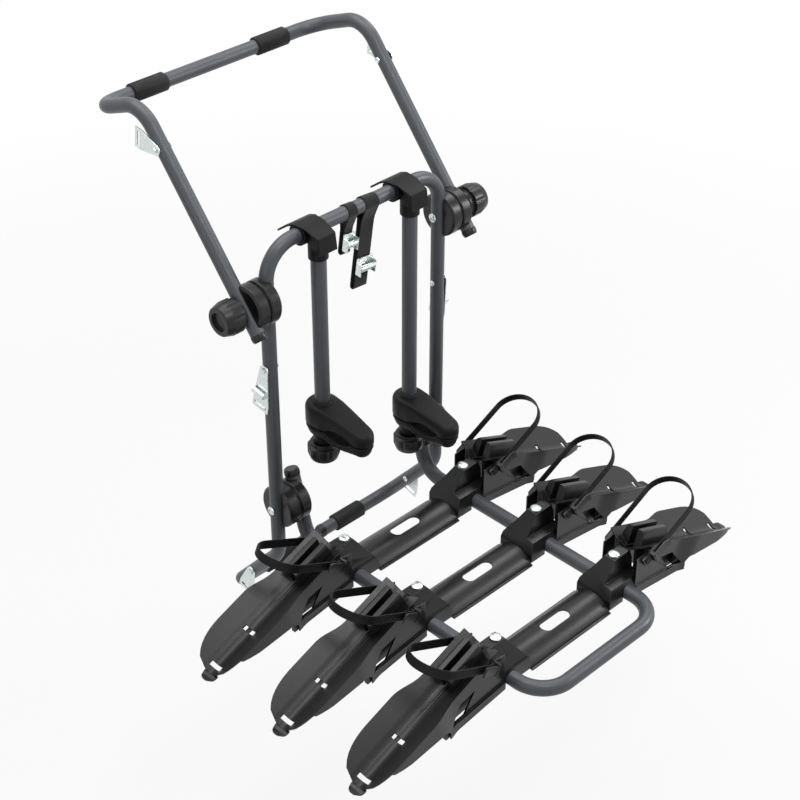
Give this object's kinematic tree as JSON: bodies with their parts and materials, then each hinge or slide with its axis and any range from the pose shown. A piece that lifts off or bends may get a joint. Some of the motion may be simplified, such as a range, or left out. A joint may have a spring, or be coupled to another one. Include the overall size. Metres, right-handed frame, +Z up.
{
  "type": "trunk mounted bike rack",
  "caption": "Tubular bike rack for a car's trunk: a main frame with a folding upper frame, a tilting platform with wheel trays, and hanging clamp arms that hold the bikes' frames.",
  "frame": {"origin": "middle of the bumper bar's axis, between the two foot caps, where the rack rests on the bumper", "axes": "+Z up, +Y towards the car, +X to the right seen from behind the car"},
  "size_m": [1.057, 1.0853, 1.0909],
  "materials": {
    "tube_paint": "satin slate grey powder coat",
    "zinc": "bright zinc plate",
    "sleeve_rubber": "matt",
    "webbing": "woven",
    "strap": "ribbed matt",
    "tray_mould": "satin moulded",
    "black_mould": "satin moulded"
  },
  "bodies": {
    "main": {"main_frame": "tube_paint", "foot_sleeves": "sleeve_rubber", "foot_caps": "black_mould", "upper_leg_drums": "black_mould", "lower_leg_drums": "black_mould", "upper_hinge_bolts": "zinc", "lower_hinge_bolts": "zinc", "frame_strap_plates": "zinc", "short_webbing": "webbing", "long_webbing": "webbing", "webbing_buckles": "zinc"},
    "lid_frame": {"upper_frame": "tube_paint", "lid_sleeves": "sleeve_rubber", "upper_frame_caps": "black_mould", "upper_arm_drums": "black_mould", "arm_strap_plates": "zinc"},
    "platform": {"platform_frame": "tube_paint", "platform_caps": "black_mould", "lower_platform_drums": "black_mould", "tray_bolts": "zinc", "ratchet_bases": "black_mould", "tray_bridge_1": "tray_mould", "tray_bridge_2": "tray_mould", "tray_bridge_3": "tray_mould", "wheel_straps_1": "strap", "wheel_straps_2": "strap", "wheel_straps_3": "strap", "wheel_holder_left_1": "tray_mould", "wheel_holder_right_1": "tray_mould", "wheel_holder_left_2": "tray_mould", "wheel_holder_right_2": "tray_mould", "wheel_holder_left_3": "tray_mould", "wheel_holder_right_3": "tray_mould"},
    "hinge_knob_left": {"hinge_knob_left": "black_mould"},
    "hanger_left": {"bar_clamp_left": "black_mould", "bar_clamp_cover_left": "black_mould", "hanger_tube_left": "tube_paint"},
    "head_left": {"upper_jaw_left": "black_mould", "upper_pad_left": "sleeve_rubber", "jaw_bolt_left": "zinc"},
    "lower_jaw_left": {"lower_jaw_left": "black_mould", "lower_pad_left": "sleeve_rubber"},
    "jaw_knob_left": {"jaw_knob_left": "black_mould"},
    "hinge_knob_right": {"hinge_knob_right": "black_mould"},
    "hanger_right": {"bar_clamp_right": "black_mould", "bar_clamp_cover_right": "black_mould", "hanger_tube_right": "tube_paint"},
    "head_right": {"upper_jaw_right": "black_mould", "upper_pad_right": "sleeve_rubber", "jaw_bolt_right": "zinc"},
    "lower_jaw_right": {"lower_jaw_right": "black_mould", "lower_pad_right": "sleeve_rubber"},
    "jaw_knob_right": {"jaw_knob_right": "black_mould"},
    "ratchet_lever_left_1": {"ratchet_lever_left_1": "black_mould"},
    "ratchet_lever_right_1": {"ratchet_lever_right_1": "black_mould"},
    "ratchet_lever_left_2": {"ratchet_lever_left_2": "black_mould"},
    "ratchet_lever_right_2": {"ratchet_lever_right_2": "black_mould"},
    "ratchet_lever_left_3": {"ratchet_lever_left_3": "black_mould"},
    "ratchet_lever_right_3": {"ratchet_lever_right_3": "black_mould"}
  },
  "joints": [
    {"name": "lid_frame_fold", "type": "hinge", "parent": "main", "child": "lid_frame", "pos_m": [0, -0.148, 0.758], "axis": [1, 0, 0], "range_deg": [-100, 100]},
    {"name": "platform_tilt", "type": "hinge", "parent": "main", "child": "platform", "pos_m": [0, -0.148, 0.281], "axis": [1, 0, 0], "range_deg": [-20, 30]},
    {"name": "hinge_knob_left_turn", "type": "hinge", "parent": "main", "child": "hinge_knob_left", "pos_m": [-0.31, -0.148, 0.758], "axis": [1, 0, 0], "continuous": true},
    {"name": "hanger_left_swing", "type": "hinge", "parent": "main", "child": "hanger_left", "pos_m": [-0.117, -0.148, 0.859], "axis": [1, 0, 0], "range_deg": [-60, 25]},
    {"name": "head_left_swivel", "type": "hinge", "parent": "hanger_left", "child": "head_left", "pos_m": [-0.117, -0.174, 0.48], "axis": [0, 0, 1], "range_deg": [-60, 60]},
    {"name": "lower_jaw_left_slide", "type": "slide", "parent": "head_left", "child": "lower_jaw_left", "axis": [0, 0, 1], "range_m": [-0.016, 0]},
    {"name": "jaw_knob_left_turn", "type": "hinge", "parent": "lower_jaw_left", "child": "jaw_knob_left", "pos_m": [-0.117, -0.174, 0.38], "axis": [0, 0, 1], "range_deg": [0, 1440.1]},
    {"name": "hinge_knob_right_turn", "type": "hinge", "parent": "main", "child": "hinge_knob_right", "pos_m": [0.31, -0.148, 0.758], "axis": [1, 0, 0], "continuous": true},
    {"name": "hanger_right_swing", "type": "hinge", "parent": "main", "child": "hanger_right", "pos_m": [0.117, -0.148, 0.859], "axis": [1, 0, 0], "range_deg": [-60, 25]},
    {"name": "head_right_swivel", "type": "hinge", "parent": "hanger_right", "child": "head_right", "pos_m": [0.117, -0.174, 0.383], "axis": [0, 0, 1], "range_deg": [-60, 60]},
    {"name": "lower_jaw_right_slide", "type": "slide", "parent": "head_right", "child": "lower_jaw_right", "axis": [0, 0, 1], "range_m": [-0.016, 0]},
    {"name": "jaw_knob_right_turn", "type": "hinge", "parent": "lower_jaw_right", "child": "jaw_knob_right", "pos_m": [0.117, -0.174, 0.283], "axis": [0, 0, 1], "range_deg": [0, 1440.1]},
    {"name": "ratchet_lever_left_1_lift", "type": "hinge", "parent": "platform", "child": "ratchet_lever_left_1", "pos_m": [-0.22226, -0.3369, 0.24442], "axis": [0.4384, 0, 0.8988], "range_deg": [0, 100]},
    {"name": "ratchet_lever_right_1_lift", "type": "hinge", "parent": "platform", "child": "ratchet_lever_right_1", "pos_m": [0.22226, -0.3369, 0.24442], "axis": [-0.4384, 0, 0.8988], "range_deg": [-100, 0]},
    {"name": "ratchet_lever_left_2_lift", "type": "hinge", "parent": "platform", "child": "ratchet_lever_left_2", "pos_m": [-0.22226, -0.5369, 0.24442], "axis": [0.4384, 0, 0.8988], "range_deg": [0, 100]},
    {"name": "ratchet_lever_right_2_lift", "type": "hinge", "parent": "platform", "child": "ratchet_lever_right_2", "pos_m": [0.22226, -0.5369, 0.24442], "axis": [-0.4384, 0, 0.8988], "range_deg": [-100, 0]},
    {"name": "ratchet_lever_left_3_lift", "type": "hinge", "parent": "platform", "child": "ratchet_lever_left_3", "pos_m": [-0.22226, -0.7369, 0.24442], "axis": [0.4384, 0, 0.8988], "range_deg": [0, 100]},
    {"name": "ratchet_lever_right_3_lift", "type": "hinge", "parent": "platform", "child": "ratchet_lever_right_3", "pos_m": [0.22226, -0.7369, 0.24442], "axis": [-0.4384, 0, 0.8988], "range_deg": [-100, 0]}
  ],
  "couplings": [
    {"joint": "jaw_knob_left_turn", "follows": "lower_jaw_left_slide", "rad_per_m": -1570.8},
    {"joint": "jaw_knob_right_turn", "follows": "lower_jaw_right_slide", "rad_per_m": -1570.8}
  ]
}
